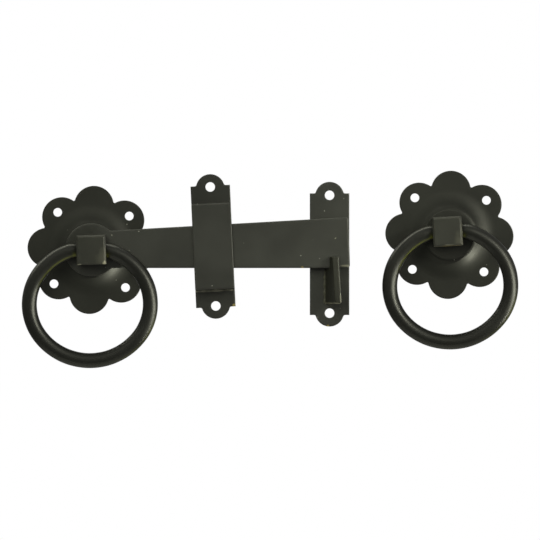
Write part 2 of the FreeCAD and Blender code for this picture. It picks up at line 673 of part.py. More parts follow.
def make_catch_plate():
    """A flat strip with eared ends, on the gate post behind the bar's tip."""
    body = new_body("catch_plate")
    strip = new_sketch(body, "XY_Plane")
    side = "strip_width / 2"
    end = "catch_length / 2"
    draw_outline(strip, [(f"-{side}", f"-{end}"), (side, f"-{end}"), (side, end), (f"-{side}", end)])
    pad(body, strip, "strip_thickness")
    trim_ears(body, "catch_length", "catch_hole_spacing")
    hole = size("strip_hole_diameter") / 2
    at_front = lies_at("strip_thickness")

    def on_outline(edge):
        return at_front(edge) and abs(getattr(edge.Curve, "Radius", 0) - hole) > NEAR

    round_off(body, "strip_edge_round", on_outline)
    stand_up(body, CATCH_X, "catch_z")
    return body


def make_hook():
    """A thick plate that leans out of the catch plate, with a seat for the bar behind its finger."""
    body = new_body("catch_hook")
    foot = new_sketch(body, "XY_Plane", "strip_thickness")
    half = "hook_thickness / cos(hook_lean) / 2"
    left = f"hook_base_x - {half}"
    right = f"hook_base_x + {half}"
    draw_outline(foot, [(left, HOOK_BOTTOM), (right, HOOK_BOTTOM), (right, FINGER_TOP), (left, FINGER_TOP)])
    plate = pad(body, foot, "hook_foot_reach - strip_thickness")
    plate.UseCustomVector = True
    plate.AlongSketchNormal = True
    plate.Direction = FreeCAD.Vector(0, 0, 1)
    drive(plate, "Direction.x", "tan(hook_lean)")
    above = f"({FINGER_TOP} + {OVERCUT})"
    slot = new_sketch(body, "YZ_Plane")
    draw_outline(slot, [(SEAT, "0"), (above, "0"), (above, FINGER_BACK), (SEAT, FINGER_BACK)])
    cut_through(body, slot)
    slope = new_sketch(body, "YZ_Plane")
    finger_front = f"({FINGER_BACK} + finger_depth)"
    clear = f"(hook_foot_reach + {OVERCUT})"
    foot_front = "hook_foot_reach"
    wedge = [(FINGER_TOP, finger_front), (HOOK_BOTTOM, foot_front), (HOOK_BOTTOM, clear), (FINGER_TOP, clear)]
    draw_outline(slope, wedge)
    cut_through(body, slope)
    right_now = size(right)
    bottom_now = size(HOOK_BOTTOM)

    def at_corner(edge):
        box = edge.BoundBox
        beside = abs(box.XMin - right_now) < NEAR and abs(box.YMax - bottom_now) < NEAR
        return beside and box.YLength < NEAR and box.ZLength > NEAR

    round_off(body, "hook_corner_round", at_corner)
    doc.recompute()
    front = max(body.Tip.Shape.Faces, key=lambda face: face.CenterOfMass.z)
    round_off(body, "hook_round", lambda edge: any(edge.isSame(other) for other in front.Edges))
    stand_up(body, CATCH_X, "catch_z")
    return body


FRONT = (FRONT_X, "front_handle_z")
REAR = ("0", "0")
REAR_LUG_BASE = BAR_FRONT
FRONT_LUG_OFFSET = ("-front_lug_left", "front_lug_rise")
pieces = [
    make_rose("rear_rose", *REAR, "rear_rose_turn"),
    make_bar(),
    make_lug("rear_lug", REAR_LUG_BASE, *REAR, BAR_TAPER, square_length="bar_thickness"),
    make_ring("rear_ring", REAR_LUG_BASE, *REAR, BAR_TAPER, "rear_ring_slide"),
    make_washer("rear_retaining_washer", "retainer_diameter", "retainer_thickness", RETAINER_BACK, *REAR),
    make_rose("front_rose", *FRONT, "front_rose_turn"),
    make_washer(
        "front_thrust_washer", "thrust_washer_diameter", "thrust_washer_thickness", BAR_BACK, *FRONT,
        front_round="thrust_washer_round",
    ),
    make_lug("front_lug", FRONT_LUG_BASE, *FRONT, "front_handle_turn", FRONT_LUG_OFFSET),
    make_ring(
        "front_ring", FRONT_LUG_BASE, *FRONT, "front_handle_turn", "front_ring_slide", FRONT_LUG_OFFSET,
    ),
    make_spindle(*FRONT, "front_handle_turn"),
    make_washer("front_retaining_washer", "retainer_diameter", "retainer_thickness", RETAINER_BACK, *FRONT),
    make_staple(),
    make_catch_plate(),
    make_hook(),
]
doc.recompute()

for thing in doc.Objects:
    if "Invalid" in thing.State or "Error" in thing.State:
        raise RuntimeError(f"{thing.Label} did not compute: {thing.State}")
for piece in pieces:
    if piece.Shape.isNull() or not piece.Shape.isValid() or len(piece.Shape.Solids) != 1:
        raise RuntimeError(f"{piece.Label} is not one valid solid")

os.makedirs("parts", exist_ok=True)
for piece in pieces:
    piece.Shape.exportStep(f"parts/{piece.Label}.step")
    print(f"{piece.Label}: {piece.Shape.Volume:.1f} mm3")
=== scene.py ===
"""Ring gate latch: the forged rings, the hook's weld, the coat of every piece, and a plain studio."""
import json
import math

import bpy
import numpy as np
from bpy.props import FloatProperty, PointerProperty, StringProperty
from mathutils import Matrix, Vector


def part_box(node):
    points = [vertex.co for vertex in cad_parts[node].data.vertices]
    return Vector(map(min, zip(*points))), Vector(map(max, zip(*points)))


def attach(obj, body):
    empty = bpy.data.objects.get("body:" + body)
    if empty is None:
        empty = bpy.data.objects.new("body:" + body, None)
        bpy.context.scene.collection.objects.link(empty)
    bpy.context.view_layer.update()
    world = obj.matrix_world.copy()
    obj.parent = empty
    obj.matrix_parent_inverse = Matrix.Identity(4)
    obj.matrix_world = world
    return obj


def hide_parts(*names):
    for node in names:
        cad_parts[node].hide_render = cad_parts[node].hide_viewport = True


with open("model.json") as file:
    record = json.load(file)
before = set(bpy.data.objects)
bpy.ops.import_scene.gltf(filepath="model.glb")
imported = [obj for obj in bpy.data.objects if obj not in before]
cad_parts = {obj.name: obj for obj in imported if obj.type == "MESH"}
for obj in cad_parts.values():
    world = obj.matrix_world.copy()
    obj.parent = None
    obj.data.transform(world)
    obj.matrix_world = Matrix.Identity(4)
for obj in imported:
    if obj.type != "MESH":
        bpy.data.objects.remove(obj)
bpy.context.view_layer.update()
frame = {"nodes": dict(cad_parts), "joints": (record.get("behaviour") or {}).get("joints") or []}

bl_info = {
    "name": "Ring Gate Latch",
    "version": (1, 0, 0),
    "blender": (4, 5, 0),
    "location": "View3D > Sidebar > Gate Latch",
    "description": "Forges the rings, coats every piece and sets up the studio of a ring gate latch",
    "category": "Add Mesh",
}

MM = 0.001
NODES = frame["nodes"]
JOINTS = {joint["name"]: joint for joint in frame["joints"]}

# Out of the gate's face, towards whoever stands before it
FORWARD = np.array([0.0, -1.0, 0.0])

# Points along the stretches of a ring and of the weld, and round their bars
NECK_POINTS = 40
BEND_POINTS = 16
TOP_POINTS = 60
SIDE_POINTS = 140
BOTTOM_POINTS = 180
RING_ROUND_POINTS = 64
WELD_SIDE_POINTS = 90
WELD_CORNER_POINTS = 16
WELD_FOOT_POINTS = 24
WELD_ROUND_POINTS = 24

# Sizes of the coating's patterns, in millimetres
CLOUD_SIZE = 25.0
RUB_SIZE = 5.0
SPECK_RIM = 0.4
SPECK_CORE = 0.2
# Orange peel, coarser than the real 0.4 mm so that it shows
PEEL_SIZE = 1.2
PEEL_DEPTH = 0.03
# The places in depth between which the painted shade grows from none on a raised face to full on one that
# lies back, in millimetres
RAISED = -10.0
RECESSED = -4.0
# Most of a noise's values lie between these
NOISE_LOW = 0.3
NOISE_HIGH = 0.7
# The sprayed coat's tone strays between these shares, and its roughness by these steps
PALEST = 1.12
DARKEST = 0.88
SMOOTHER = 0.04
ROUGHER = 0.05
# Cosines of an edge's turn from its face at which wear starts and is full, and the noise that breaks it up
TURN_STARTS = 0.985
TURN_FULL = 0.85
WEAR_STARTS = 0.45
WEAR_FULL = 0.7
# The distance from a mark's middle, in reaches and with noise added, at its rim and where it is full
MARK_RIM = 1.4
MARK_FULL = 0.9
# The share of the specks that are left out
MISSING_SPECKS = 0.3

# The camera looks level at the gate's face from far off, square to it
SENSOR = 36.0
FRAME_WIDTH = 341.8 * MM
FRAME_CENTRE = Vector((112.9 * MM, 0.0, -12.7 * MM))
CAMERA_DISTANCE = 10.0
CLIP_DISTANCE = 40.0

LAMP_TINT = (1.0, 1.0, 0.80)

# Half the floor's width and its level in metres, its colours, and the size of its clouds in millimetres
FLOOR_HALF = 2.5
FLOOR_LEVEL = -2.4
FLOOR_COLOURS = ("#e6e6e4", "#ededeb")
FLOOR_PATCH = 300.0

# How far a direction points into the gate at the white backdrop's rim and where it is full, how far up or
# down it points where the room is brightest or darkest, and the world's colours
BACKDROP_RIM = 0.8
BACKDROP_FULL = 0.97
ROOM_HEIGHT = 0.8
ROOM_BELOW = (0.08, 0.08, 0.072, 1.0)
ROOM_ABOVE = (0.30, 0.30, 0.27, 1.0)
WHITE = (1.0, 1.0, 1.0, 1.0)


class RingSizes(bpy.types.PropertyGroup):
    """Sizes of a forged ring handle."""
    stock: FloatProperty(name="Stock", description="Diameter of the ring's bar",
                         default=9.6 * MM, unit="LENGTH")
    neck: FloatProperty(name="Neck", description="Diameter of the neck in the lug",
                        default=8.0 * MM, unit="LENGTH")
    half_width: FloatProperty(name="Half width", description="Half the width at the middle of the bar",
                              default=38.25 * MM, unit="LENGTH")
    half_height: FloatProperty(name="Half height", description="Half the height at the middle of the bar",
                               default=35.7 * MM, unit="LENGTH")
    neck_bend: FloatProperty(name="Neck bend", description="Bend radius beside the neck",
                             default=10.0 * MM, unit="LENGTH")
    neck_half: FloatProperty(name="Half neck", description="Half the straight length of the neck",
                             default=9.3 * MM, unit="LENGTH")
    lug_half: FloatProperty(name="Half lug", description="Half the lug's width, beside which the neck swells",
                            default=9.3 * MM, unit="LENGTH")
    rear_slide: FloatProperty(name="Rear slide", description="How far the rear ring has slid left in its lug",
                              default=1.85 * MM, unit="LENGTH")
    front_slide: FloatProperty(name="Front slide",
                               description="How far the front ring has slid left in its lug",
                               default=0.2 * MM, unit="LENGTH")
    shoulder: FloatProperty(name="Shoulder", description="Length over which the neck swells to the full bar",
                            default=7.0 * MM, unit="LENGTH")
    hammering: FloatProperty(name="Hammering", description="Depth of the unevenness that forging leaves",
                             default=0.06 * MM, unit="LENGTH")


class WeldSizes(bpy.types.PropertyGroup):
    """Sizes of the weld at the hook's foot."""
    bead: FloatProperty(name="Bead", description="How far the bead stands out of the corner",
                        default=1.1 * MM, unit="LENGTH")
    ripple: FloatProperty(name="Ripple", description="Length of one ripple of the bead",
                          default=4.5 * MM, unit="LENGTH")
    foot: FloatProperty(name="Foot", description="Width of the hook's foot on the plate",
                        default=4.6 * MM, unit="LENGTH")
    side: FloatProperty(name="Side", description="Length of the bead up the hook's left side",
                        default=21.5 * MM, unit="LENGTH")
    corner: FloatProperty(name="Corner", description="Bend of the bead round the hook's lower corner",
                          default=0.8 * MM, unit="LENGTH")


class CoatingColours(bpy.types.PropertyGroup):
    """Colours of the coating, as sRGB hex values."""
    sheet: StringProperty(name="Sheet", description="Coating on the pressed roses", default="#252623")
    # The strip's coat is paler than the sheet's as painted light: it stands for the light that falls more on
    # the bar, the staple and the catch plate
    strip: StringProperty(name="Strip", description="Coating on the bar and the strips", default="#343533")
    weld: StringProperty(name="Weld", description="Coating on the weld's ripples", default="#45463c")
    hook: StringProperty(name="Hook", description="Coating on the hook", default="#21221c")
    forging: StringProperty(name="Forging", description="Coating on the rings", default="#151613")
    block: StringProperty(name="Block", description="Coating on the lugs", default="#31322e")
    # Besides real edge wear, the worn colour paints highlights down the lugs' and the hook's right edges and
    # along the bar's lower edge by its tip, and pale lines along the front lug's and the hook's lower edges
    worn: StringProperty(name="Worn edge", description="Edges where the coating is rubbed thin",
                         default="#6b6a5e")
    dust: StringProperty(name="Dust", description="Specks of dust in the coating", default="#a2a29c")
    # The olive colour paints reflections along the rings' edges, and a highlight on their necks beside the
    # lugs
    olive: StringProperty(name="Olive", description="Thin coating that shows olive", default="#686c24")
    rust: StringProperty(name="Rust", description="Rubbed places with some rust", default="#5c4636")
    nick: StringProperty(name="Nick", description="Small nicks down to the primer", default="#8c7f4a")
    # Besides real scuffs, the scuff colour paints a glint at the bar's lower right corner
    scuff: StringProperty(name="Scuff", description="Pale scuffs", default="#8f8e80")
    # The bare colour paints a glint on the rear lug's lower right corner
    bare: StringProperty(name="Bare", description="Corners rubbed nearly bare", default="#bebca4")
    # The shaded colour paints shade round the bar's eye, under the lug
    painted_eye_shade: StringProperty(name="Shaded", description="Thick coat round the bar's eye", default="#2b2c29")
    # The rubbed colour paints a sheen on the lugs' faces, brightest to the lower right
    rubbed: StringProperty(name="Rubbed", description="Faces that hands have rubbed", default="#4a4a42")


def linear(colour):
    """A hex sRGB colour as linear red, green, blue and alpha."""
    channels = [int(colour[start:start + 2], 16) / 255 for start in (1, 3, 5)]
    return (*[c / 12.92 if c <= 0.04045 else ((c + 0.055) / 1.055) ** 2.4 for c in channels], 1.0)


def add(tree, kind, inputs=None, **settings):
    """Add a node with its settings, and set or link its inputs."""
    node = tree.nodes.new(kind)
    for name, setting in settings.items():
        setattr(node, name, setting)
    for name, value in (inputs or {}).items():
        if isinstance(value, bpy.types.NodeSocket):
            tree.links.new(value, node.inputs[name])
        else:
            node.inputs[name].default_value = value
    return node


def per_size(millimetres):
    """The scale that gives a texture features of this size."""
    return 1 / (millimetres * MM)


def cloudy_tone_and_painted_shade(tree, place, clouds, colour, painted_shade_share):
    """The coat's colour: a little cloudy as sprayed, and with painted shade on faces that lie back, darker
    there by the given share.
    """
    cloudy = add(tree, "ShaderNodeMapRange", {
        "Value": clouds, "From Min": NOISE_LOW, "From Max": NOISE_HIGH,
        "To Min": DARKEST, "To Max": PALEST,
    })
    depth = add(tree, "ShaderNodeSeparateXYZ", {0: place}).outputs["Y"]
    shade = add(tree, "ShaderNodeMapRange", {
        "Value": depth, "From Min": RAISED * MM, "From Max": RECESSED * MM,
        "To Min": 1.0, "To Max": 1.0 - painted_shade_share,
    })
    tone = add(tree, "ShaderNodeMath", {0: cloudy.outputs[0], 1: shade.outputs[0]}, operation="MULTIPLY")
    sprayed = add(tree, "ShaderNodeMixRGB", {
        "Fac": 1.0, "Color1": linear(colour), "Color2": tone.outputs[0],
    }, blend_type="MULTIPLY")
    return sprayed.outputs[0]


def wear_edges(tree, under, edge_normal, rubbing, colour):
    """Rub the coat thin in patches wherever the rounded edge turns away from the flat face."""
    geometry = add(tree, "ShaderNodeNewGeometry")
    facing = add(tree, "ShaderNodeVectorMath", {0: edge_normal, 1: geometry.outputs["Normal"]},
                 operation="DOT_PRODUCT")
    turned = add(tree, "ShaderNodeMapRange", {
        "Value": facing.outputs["Value"], "From Min": TURN_STARTS, "From Max": TURN_FULL,
    })
    patches = add(tree, "ShaderNodeMapRange", {
        "Value": rubbing, "From Min": WEAR_STARTS, "From Max": WEAR_FULL,
    })
    worn = add(tree, "ShaderNodeMath", {0: turned.outputs[0], 1: patches.outputs[0]}, operation="MULTIPLY")
    with_edges = add(tree, "ShaderNodeMixRGB", {
        "Fac": worn.outputs[0], "Color1": under, "Color2": linear(colour),
    })
    return with_edges.outputs[0]


def rub_mark(tree, under, place, rubbing, mark):
    """Rub one mark into the coat, by the distance from its middle in reaches, with a ragged outline."""
    middle, reach, slope, colour = mark
    near = add(tree, "ShaderNodeMapping", {
        "Vector": place, "Location": [length * MM for length in middle],
        "Rotation": (0.0, -math.radians(slope), 0.0), "Scale": [length * MM for length in reach],
    }, vector_type="TEXTURE")
    away = add(tree, "ShaderNodeVectorMath", {0: near.outputs[0]}, operation="LENGTH")
    ragged = add(tree, "ShaderNodeMath", {0: rubbing, 1: away.outputs["Value"]})
    rubbed = add(tree, "ShaderNodeMapRange", {
        "Value": ragged.outputs[0], "From Min": MARK_RIM, "From Max": MARK_FULL,
    })
    with_mark = add(tree, "ShaderNodeMixRGB", {
        "Fac": rubbed.outputs[0], "Color1": under, "Color2": linear(colour),
    })
    return with_mark.outputs[0]


def settle_dust(tree, under, place, spacing, colour):
    """Specks of dust about half a millimetre across, spread over the faces, some faint and some left out."""
    parts = add(tree, "ShaderNodeSeparateXYZ", {0: place})
    spread = add(tree, "ShaderNodeCombineXYZ", {"X": parts.outputs["X"], "Y": parts.outputs["Z"]})
    cells = add(tree, "ShaderNodeTexVoronoi", {"Vector": spread.outputs[0], "Scale": per_size(spacing)},
                voronoi_dimensions="2D")
    speck = add(tree, "ShaderNodeMapRange", {
        "Value": cells.outputs["Distance"], "From Min": SPECK_RIM / spacing, "From Max": SPECK_CORE / spacing,
    })
    chance = add(tree, "ShaderNodeSeparateColor", {0: cells.outputs["Color"]})
    strength = add(tree, "ShaderNodeMapRange", {"Value": chance.outputs["Red"], "From Min": MISSING_SPECKS})
    dusty = add(tree, "ShaderNodeMath", {0: speck.outputs[0], 1: strength.outputs[0]}, operation="MULTIPLY")
    with_dust = add(tree, "ShaderNodeMixRGB", {
        "Fac": dusty.outputs[0], "Color1": under, "Color2": linear(colour),
    })
    return with_dust.outputs[0]


def black_coating(name, colour, roughness, specular=0.4, edge=0.7, peel=0.1, dust=0.0, painted_shade_share=0.0, marks=()):
    """Satin black stoved coating over steel.

    It was sprayed and baked, which leaves a fine orange peel, a mottled gloss and some dust. Its edges are
    rubbed thin, and round over edge millimetres. Faces that lie back get painted shade, darker by the given
    share.
    On the rings an attribute paints olive reflections, and a highlight by the lugs.
    Each mark is a rubbed spot or line, or a painted shade, sheen, glint or highlight: its middle and its
    reach across, in depth and upwards in millimetres, its slope in degrees and its colour. Specks of dust lie
    about dust millimetres apart, and 0 is clean.
    """
    colours = bpy.context.scene.latch_colours
    material = bpy.data.materials.new(name)
    material.use_nodes = True
    tree = material.node_tree
    tree.nodes.clear()
    place = add(tree, "ShaderNodeTexCoord").outputs["Object"]
    clouds = add(tree, "ShaderNodeTexNoise", {
        "Vector": place, "Scale": per_size(CLOUD_SIZE), "Detail": 4.0,
    }).outputs["Fac"]
    rubbing = add(tree, "ShaderNodeTexNoise", {
        "Vector": place, "Scale": per_size(RUB_SIZE), "Detail": 6.0,
    }).outputs["Fac"]
    edge_normal = add(tree, "ShaderNodeBevel", {"Radius": edge * MM}, samples=6).outputs[0]
    finish = cloudy_tone_and_painted_shade(tree, place, clouds, colour, painted_shade_share)
    finish = wear_edges(tree, finish, edge_normal, rubbing, colours.worn)
    # Painted olive reflections, and a painted highlight by the lugs, from an attribute that only the rings
    # carry
    thin = add(tree, "ShaderNodeAttribute", attribute_name="painted_reflection")
    finish = add(tree, "ShaderNodeMixRGB", {
        "Fac": thin.outputs["Fac"], "Color1": finish, "Color2": linear(colours.olive),
    }).outputs[0]
    for mark in marks:
        finish = rub_mark(tree, finish, place, rubbing, mark)
    if dust:
        finish = settle_dust(tree, finish, place, dust, colours.dust)
    # Orange peel in the gloss, which is a little mottled as well
    grain = add(tree, "ShaderNodeTexNoise", {"Vector": place, "Scale": per_size(PEEL_SIZE), "Detail": 2.0})
    bump = add(tree, "ShaderNodeBump", {
        "Height": grain.outputs["Fac"], "Strength": peel, "Distance": PEEL_DEPTH * MM, "Normal": edge_normal,
    })
    gloss = add(tree, "ShaderNodeMapRange", {
        "Value": clouds, "From Min": NOISE_LOW, "From Max": NOISE_HIGH,
        "To Min": roughness - SMOOTHER, "To Max": roughness + ROUGHER,
    })
    shader = add(tree, "ShaderNodeBsdfPrincipled", {
        "Base Color": finish, "Roughness": gloss.outputs[0], "Normal": bump.outputs[0],
        "Specular IOR Level": specular,
    })
    add(tree, "ShaderNodeOutputMaterial", {"Surface": shader.outputs[0]})
    return material


def coat(obj, material):
    """Give an object this material alone."""
    obj.data.materials.clear()
    obj.data.materials.append(material)


def grid_mesh(name, surface, closed=True):
    """A mesh from rows of points, each row closed on itself, and the rows closed on each other or capped."""
    rows, columns = surface.shape[:2]
    index = np.arange(rows * columns).reshape(rows, columns)
    below = np.roll(index, -1, axis=0)
    beside = np.roll(index, -1, axis=1)
    across = np.roll(below, -1, axis=1)
    quads = np.stack([index, below, across, beside], axis=-1)
    faces = quads.reshape(-1, 4).tolist()
    if not closed:
        faces = quads[:-1].reshape(-1, 4).tolist() + [index[0].tolist(), index[-1][::-1].tolist()]
    mesh = bpy.data.meshes.new(name)
    mesh.from_pydata(surface.reshape(-1, 3), [], faces)
    mesh.polygons.foreach_set("use_smooth", np.ones(len(faces), bool))
    mesh.update()
    obj = bpy.data.objects.new(name, mesh)
    bpy.context.scene.collection.objects.link(obj)
    return obj


def arc_points(centre, radius, first, last, count):
    """Points of an arc between two angles, and their outward directions, as columns (across, up)."""
    angles = np.linspace(first, last, count, endpoint=False)
    outward = np.stack([np.cos(angles), np.sin(angles)], axis=1)
    return np.asarray(centre) + radius * outward, outward


def round_bar(middle, outward, radius, around):
    """A round bar along a line: at angle a it lies at middle + radius (outward cos a + forward sin a)."""
    cosine = np.cos(around)[None, :, None]
    sine = np.sin(around)[None, :, None]
    return middle[:, None] + radius[..., None] * (outward[:, None] * cosine + FORWARD * sine)


def fade(value, middle, reach, power=2):
    """1 at the middle, falling away within the reach as exp(-((value - middle) / reach) ^ power)."""
    return np.exp(-((value - middle) / reach) ** power)


def ring_path(sizes):
    """The ring's middle line and its outward directions, clockwise from the neck's left end.

    A straight neck, a bend at each end of it, and then the top, sides and bottom of a four-centred oval, each
    arc tangent to the next.
    """
    half_width, half_height = sizes.half_width, sizes.half_height
    side = half_height ** 2 / half_width
    top = (half_width ** 2 + half_height ** 2 - 2 * half_width * side) / (2 * (half_height - side))
    bend, straight = sizes.neck_bend, sizes.neck_half
    flat = top - bend - math.sqrt((top - bend) ** 2 - straight ** 2)
    lean = math.asin(straight / (top - bend))
    corner = math.atan((top - half_height) / (half_width - side))
    upright = math.pi / 2
    middle = flat - half_height
    neck_across = np.linspace(-straight, straight, NECK_POINTS, endpoint=False)
    neck = np.stack([neck_across, np.zeros_like(neck_across)], axis=1)
    stretches = [
        (neck, np.tile([0.0, 1.0], (len(neck), 1))),
        arc_points((straight, -bend), bend, upright, upright - lean, BEND_POINTS),
        arc_points((0, flat - top), top, upright - lean, corner, TOP_POINTS),
        arc_points((half_width - side, middle), side, corner, -corner, SIDE_POINTS),
        arc_points((0, flat - 2 * half_height + top), top, -corner, -math.pi + corner, BOTTOM_POINTS),
        arc_points((side - half_width, middle), side, -math.pi + corner, -math.pi - corner, SIDE_POINTS),
        arc_points((0, flat - top), top, -math.pi - corner, -1.5 * math.pi + lean, TOP_POINTS),
        arc_points((-straight, -bend), bend, upright + lean, upright, BEND_POINTS),
    ]
    points = np.concatenate([points for points, _ in stretches])
    outward = np.concatenate([outward for _, outward in stretches])
    return points, outward


def forge_ring(name, joint, sizes, slide):
    """A round bar carried along the ring's middle line, where the radius swells from the neck to the full bar
    beside the lug and hammering takes a little off it, in three waves round the ring."""
    points, outward = ring_path(sizes)
    steps = np.linalg.norm(np.roll(points, -1, axis=0) - points, axis=1)
    along = np.concatenate([[0.0], np.cumsum(steps)[:-1]])
    length = steps.sum()
    # Distance from the neck's middle along the bar, to the left negative
    from_neck = (along - sizes.neck_half + length / 2) % length - length / 2
    outside_lug = np.abs(from_neck - slide) - sizes.lug_half
    swell = np.clip(outside_lug / sizes.shoulder, 0, 1)
    swell = swell * (2 - swell)
    radius = (sizes.neck + (sizes.stock - sizes.neck) * swell) / 2
    around = np.linspace(0, 2 * math.pi, RING_ROUND_POINTS, endpoint=False)
    # 7, 11 and 17 waves to the round, set off from each other so that no two dents are alike
    turns = 2 * math.pi * along[:, None] / length
    wavering = (np.sin(7 * turns + 1.3) * np.cos(around + 0.4) + np.sin(11 * turns + 2 * around + 0.7)
                + np.sin(17 * turns - around + 2.1)) / 3
    rough_radius = radius[:, None] - sizes.hammering * swell[:, None] * (1 + wavering) / 2
    pivot = np.array(joint["pos_m"])
    rightward = -np.array(joint["axis"])
    upward = np.cross(FORWARD, rightward)
    across = points[:, 0] - slide
    middle = pivot + across[:, None] * rightward + points[:, 1:] * upward
    away = outward[:, :1] * rightward + outward[:, 1:] * upward
    ring = grid_mesh(name, round_bar(middle, away, rough_radius, around))
    # Painted olive reflections: a line on the inner side at the upper left, a fainter one on the outer side
    # at the lower right, and a painted highlight on the neck beside the lug. Angles round the bar start at
    # its outer side, shares at the neck.
    share = from_neck[:, None] / length
    inner = fade(around, 2.43, 0.16) * fade(share, -0.115, 0.07, power=4)
    outer = fade(around, 0.55, 0.2) * fade(share, 0.36, 0.07, power=4)
    beside = fade(around, 2.6, 0.5) * fade(outside_lug[:, None], 1.5 * MM, 1.5 * MM)
    thin = ring.data.attributes.new("painted_reflection", "FLOAT", "POINT")
    thin.data.foreach_set("value", (inner + 0.4 * outer + 0.7 * beside).ravel())
    return ring


def lay_weld(name, sizes):
    """A bead carried down the left side of the hook's foot, round its lower corner and along its lower end,
    where the radius swells and narrows once in each uneven ripple and runs out at both ends."""
    (hook_left, _, hook_bottom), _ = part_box("catch_hook")
    (_, plate_front, _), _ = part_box("catch_plate")
    bend = sizes.corner
    leftward, downward = math.pi, 1.5 * math.pi
    down = np.linspace(hook_bottom + sizes.side, hook_bottom + bend, WELD_SIDE_POINTS, endpoint=False)
    turn = np.linspace(leftward, downward, WELD_CORNER_POINTS, endpoint=False)
    along = np.linspace(hook_left + bend, hook_left + sizes.foot, WELD_FOOT_POINTS)
    path = np.concatenate([
        np.stack([np.full_like(down, hook_left), down], axis=1),
        np.stack([hook_left + bend + bend * np.cos(turn), hook_bottom + bend + bend * np.sin(turn)], axis=1),
        np.stack([along, np.full_like(along, hook_bottom)], axis=1),
    ])
    headings = np.concatenate([np.full_like(down, leftward), turn, np.full_like(along, downward)])
    travelled = np.concatenate([[0.0], np.cumsum(np.linalg.norm(np.diff(path, axis=0), axis=1))])
    # How blunt the ends are in ripples, how far a ripple's radius swings, and how uneven the ripples are
    blunt_end, swing, unevenness = 0.05, 0.22, 0.9
    from_end = np.minimum(travelled, travelled[-1] - travelled) / sizes.ripple
    ends = np.clip(from_end + blunt_end, 0, 1) ** 0.5
    ripples = np.sin(2 * math.pi * travelled / sizes.ripple + unevenness * np.sin(travelled / sizes.ripple))
    radius = sizes.bead * ends * (1 - swing + swing * ripples)
    around = np.linspace(0, 2 * math.pi, WELD_ROUND_POINTS, endpoint=False)
    outward = np.stack([np.cos(headings), np.zeros_like(headings), np.sin(headings)], axis=1)
    middle = np.stack([path[:, 0], np.full(len(path), plate_front), path[:, 1]], axis=1)
    return grid_mesh(name, round_bar(middle, outward, radius[:, None], around), closed=False)


class GATELATCH_OT_rings(bpy.types.Operator):
    """Forge both ring handles and coat them"""
    bl_idname = "gate_latch.rings"
    bl_label = "Forge the rings"

    def execute(self, context):
        sizes = context.scene.latch_ring
        material = black_coating("Black coating on forged bar", context.scene.latch_colours.forging,
                                 roughness=0.36, specular=0.55, edge=0.0, peel=0.02)
        for end in ("rear", "front"):
            # A ring's body has the same name as its node
            node = f"{end}_ring"
            slide = getattr(sizes, f"{end}_slide")
            ring = forge_ring(f"{end}_forged_ring", JOINTS[f"{end}_ring_swing"], sizes, slide)
            coat(ring, material)
            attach(ring, node)
            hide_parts(node)
        return {"FINISHED"}


class GATELATCH_OT_roses(bpy.types.Operator):
    """Coat the pressed roses and the washers"""
    bl_idname = "gate_latch.roses"
    bl_label = "Coat the roses"

    def execute(self, context):
        material = black_coating("Black coating on pressed sheet", context.scene.latch_colours.sheet,
                                 roughness=0.50, specular=0.33, dust=26.0)
        for node in ("rear_rose", "front_rose", "front_thrust_washer", "rear_retaining_washer",
                     "front_retaining_washer"):
            coat(NODES[node], material)
        return {"FINISHED"}


class GATELATCH_OT_strips(bpy.types.Operator):
    """Coat the bar, the staple, the catch plate and its hook"""
    bl_idname = "gate_latch.strips"
    bl_label = "Coat the bar and strips"

    def execute(self, context):
        colours = context.scene.latch_colours
        # Painted shade round the bar's eye, then marks along its lower edge and at its tip, among them a
        # painted glint at its lower right corner and a painted highlight along its lower edge there, then
        # nicks on the staple's and the plate's lower ears, and last a pale line along the staple's lower fold
        strip_marks = [
            # Painted shade round the bar's eye
            ((-6.0, -10.6, 4.0), (19.0, 4.0, 19.0), 0.0, colours.painted_eye_shade),
            ((133.4, -10.4, -11.3), (1.3, 1.3, 1.3), 0.0, colours.nick),
            ((154.3, -10.6, 7.4), (0.9, 0.6, 0.4), 40.0, colours.scuff),
            # A painted glint at the bar's lower right corner and a painted highlight along its lower edge by
            # the tip
            ((162.3, -10.3, -10.2), (0.7, 0.7, 0.7), 0.0, colours.scuff),
            ((160.0, -10.5, -10.0), (5.0, 1.0, 0.8), 0.0, colours.worn),
            ((90.4, -2.5, -35.0), (1.8, 1.8, 1.8), 0.0, colours.nick),
            ((149.5, -1.6, -48.3), (1.4, 1.4, 1.4), 0.0, colours.nick),
            ((78.3, -3.0, -25.8), (28.0, 2.5, 0.9), 2.5, colours.scuff),
        ]
        # A pale line along the hook's lower end, and a painted highlight down its right edge
        hook_marks = [
            ((153.0, -12.0, -33.9), (14.0, 26.0, 0.9), 0.0, colours.worn),
            ((157.8, -22.3, -26.0), (1.1, 1.5, 15.0), 2.0, colours.worn),
        ]
        rolled = black_coating("Black coating on rolled strip", colours.strip, roughness=0.38, dust=15.0,
                               marks=strip_marks)
        # The staple's coat has painted shade on its feet, which lie back behind its bridge
        bent = black_coating("Black coating on bent strip", colours.strip, roughness=0.38, dust=26.0,
                             painted_shade_share=0.28, marks=strip_marks)
        cut = black_coating("Black coating on cut plate", colours.hook, roughness=0.34, edge=1.2,
                            marks=hook_marks)
        coat(NODES["latch_bar"], rolled)
        coat(NODES["catch_plate"], rolled)
        coat(NODES["staple"], bent)
        coat(NODES["catch_hook"], cut)
        return {"FINISHED"}


